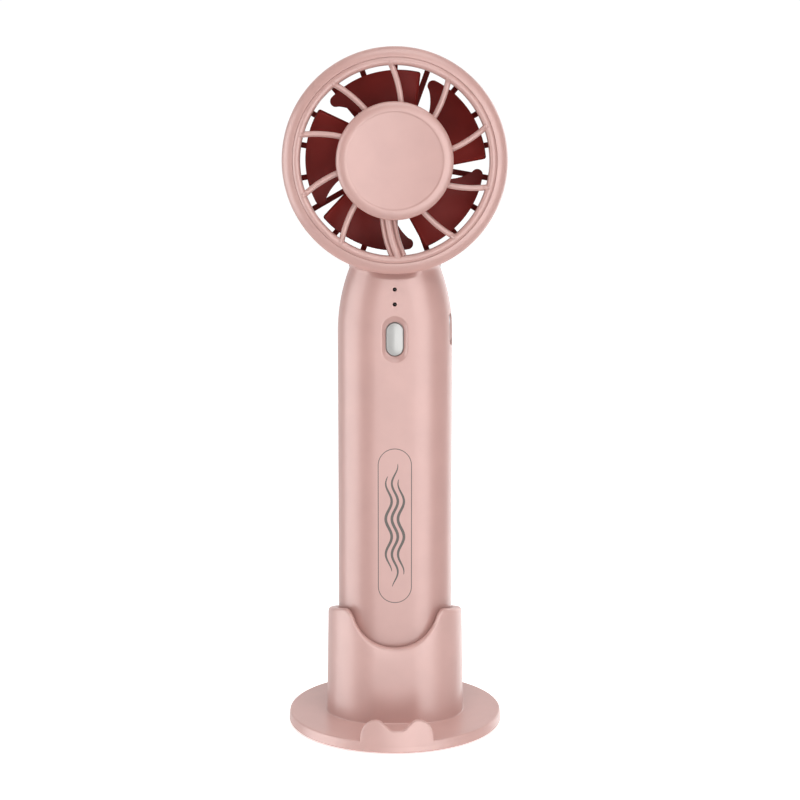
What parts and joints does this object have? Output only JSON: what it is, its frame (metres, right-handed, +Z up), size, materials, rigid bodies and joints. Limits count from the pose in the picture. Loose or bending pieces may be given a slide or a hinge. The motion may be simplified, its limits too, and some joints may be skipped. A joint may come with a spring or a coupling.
{
  "type": "handheld electric fan",
  "caption": "Slim battery hand fan with a round grilled head and a flat-fronted handle, standing in a round desk stand with a scooped cup and a phone ledge.",
  "frame": {"origin": "centre of the stand's underside, on the surface that it stands on", "axes": "+Z up; the fan's front, its button and the phone ledge face -Y; +X is to the right seen from the front"},
  "size_m": [0.0704, 0.07, 0.2187],
  "materials": {
    "shell_plastic": "satin soft pink",
    "stand_plastic": "satin soft pink, a shade cooler",
    "maroon_plastic": "satin dark maroon",
    "button_plastic": "smooth light grey",
    "white_plastic": "matte",
    "black_plastic": "matte black",
    "lens_plastic": "smoked, glossy",
    "foam_rubber": "soft matte",
    "board_laminate": "green solder mask",
    "steel": "plain",
    "magnet_ferrite": "dark grey",
    "brass": "turned",
    "copper": "enamelled winding wire",
    "cell_sleeve": "shrink sleeve",
    "wire_sleeve": "soft red and black sleeving",
    "lamp_white": "clear white"
  },
  "bodies": {
    "stand": {"stand": "stand_plastic", "foot_pad": "foam_rubber"},
    "fan": {"front_shell": "shell_plastic", "rear_shell": "shell_plastic", "front_grille": "shell_plastic", "wire_channel_cover": "shell_plastic", "hub_cap": "shell_plastic", "rear_grille": "maroon_plastic", "circuit_board": "board_laminate", "board_components": "black_plastic", "tactile_switch": "steel", "status_leds": "lamp_white", "led_lenses": "lens_plastic", "charging_port": "steel", "port_tongue": "black_plastic", "battery_cell": "cell_sleeve", "battery_cradle": "white_plastic", "battery_tabs": "steel", "battery_wires": "wire_sleeve", "foam_pad": "foam_rubber", "motor_wires": "wire_sleeve", "stator_core": "steel", "stator_coils": "copper", "motor_board": "board_laminate", "bearing_tube": "brass", "front_bearing": "steel", "rear_bearing": "steel", "shell_screws": "steel"},
    "impeller": {"impeller": "maroon_plastic", "rotor_yoke": "steel", "rotor_magnet": "magnet_ferrite", "motor_shaft": "steel", "retaining_clip": "steel"},
    "button": {"power_button": "button_plastic"}
  },
  "joints": [
    {"name": "fan_lift", "type": "slide", "parent": "stand", "child": "fan", "axis": [0, 0, 1], "range_m": [0, 0.045]},
    {"name": "impeller_spin", "type": "hinge", "parent": "fan", "child": "impeller", "pos_m": [0, 0, 0.1835], "axis": [0, -1, 0], "continuous": true},
    {"name": "button_press", "type": "slide", "parent": "fan", "child": "button", "axis": [0, 1, 0], "range_m": [0, 0.0006], "stiffness_N_per_m": 1500}
  ]
}
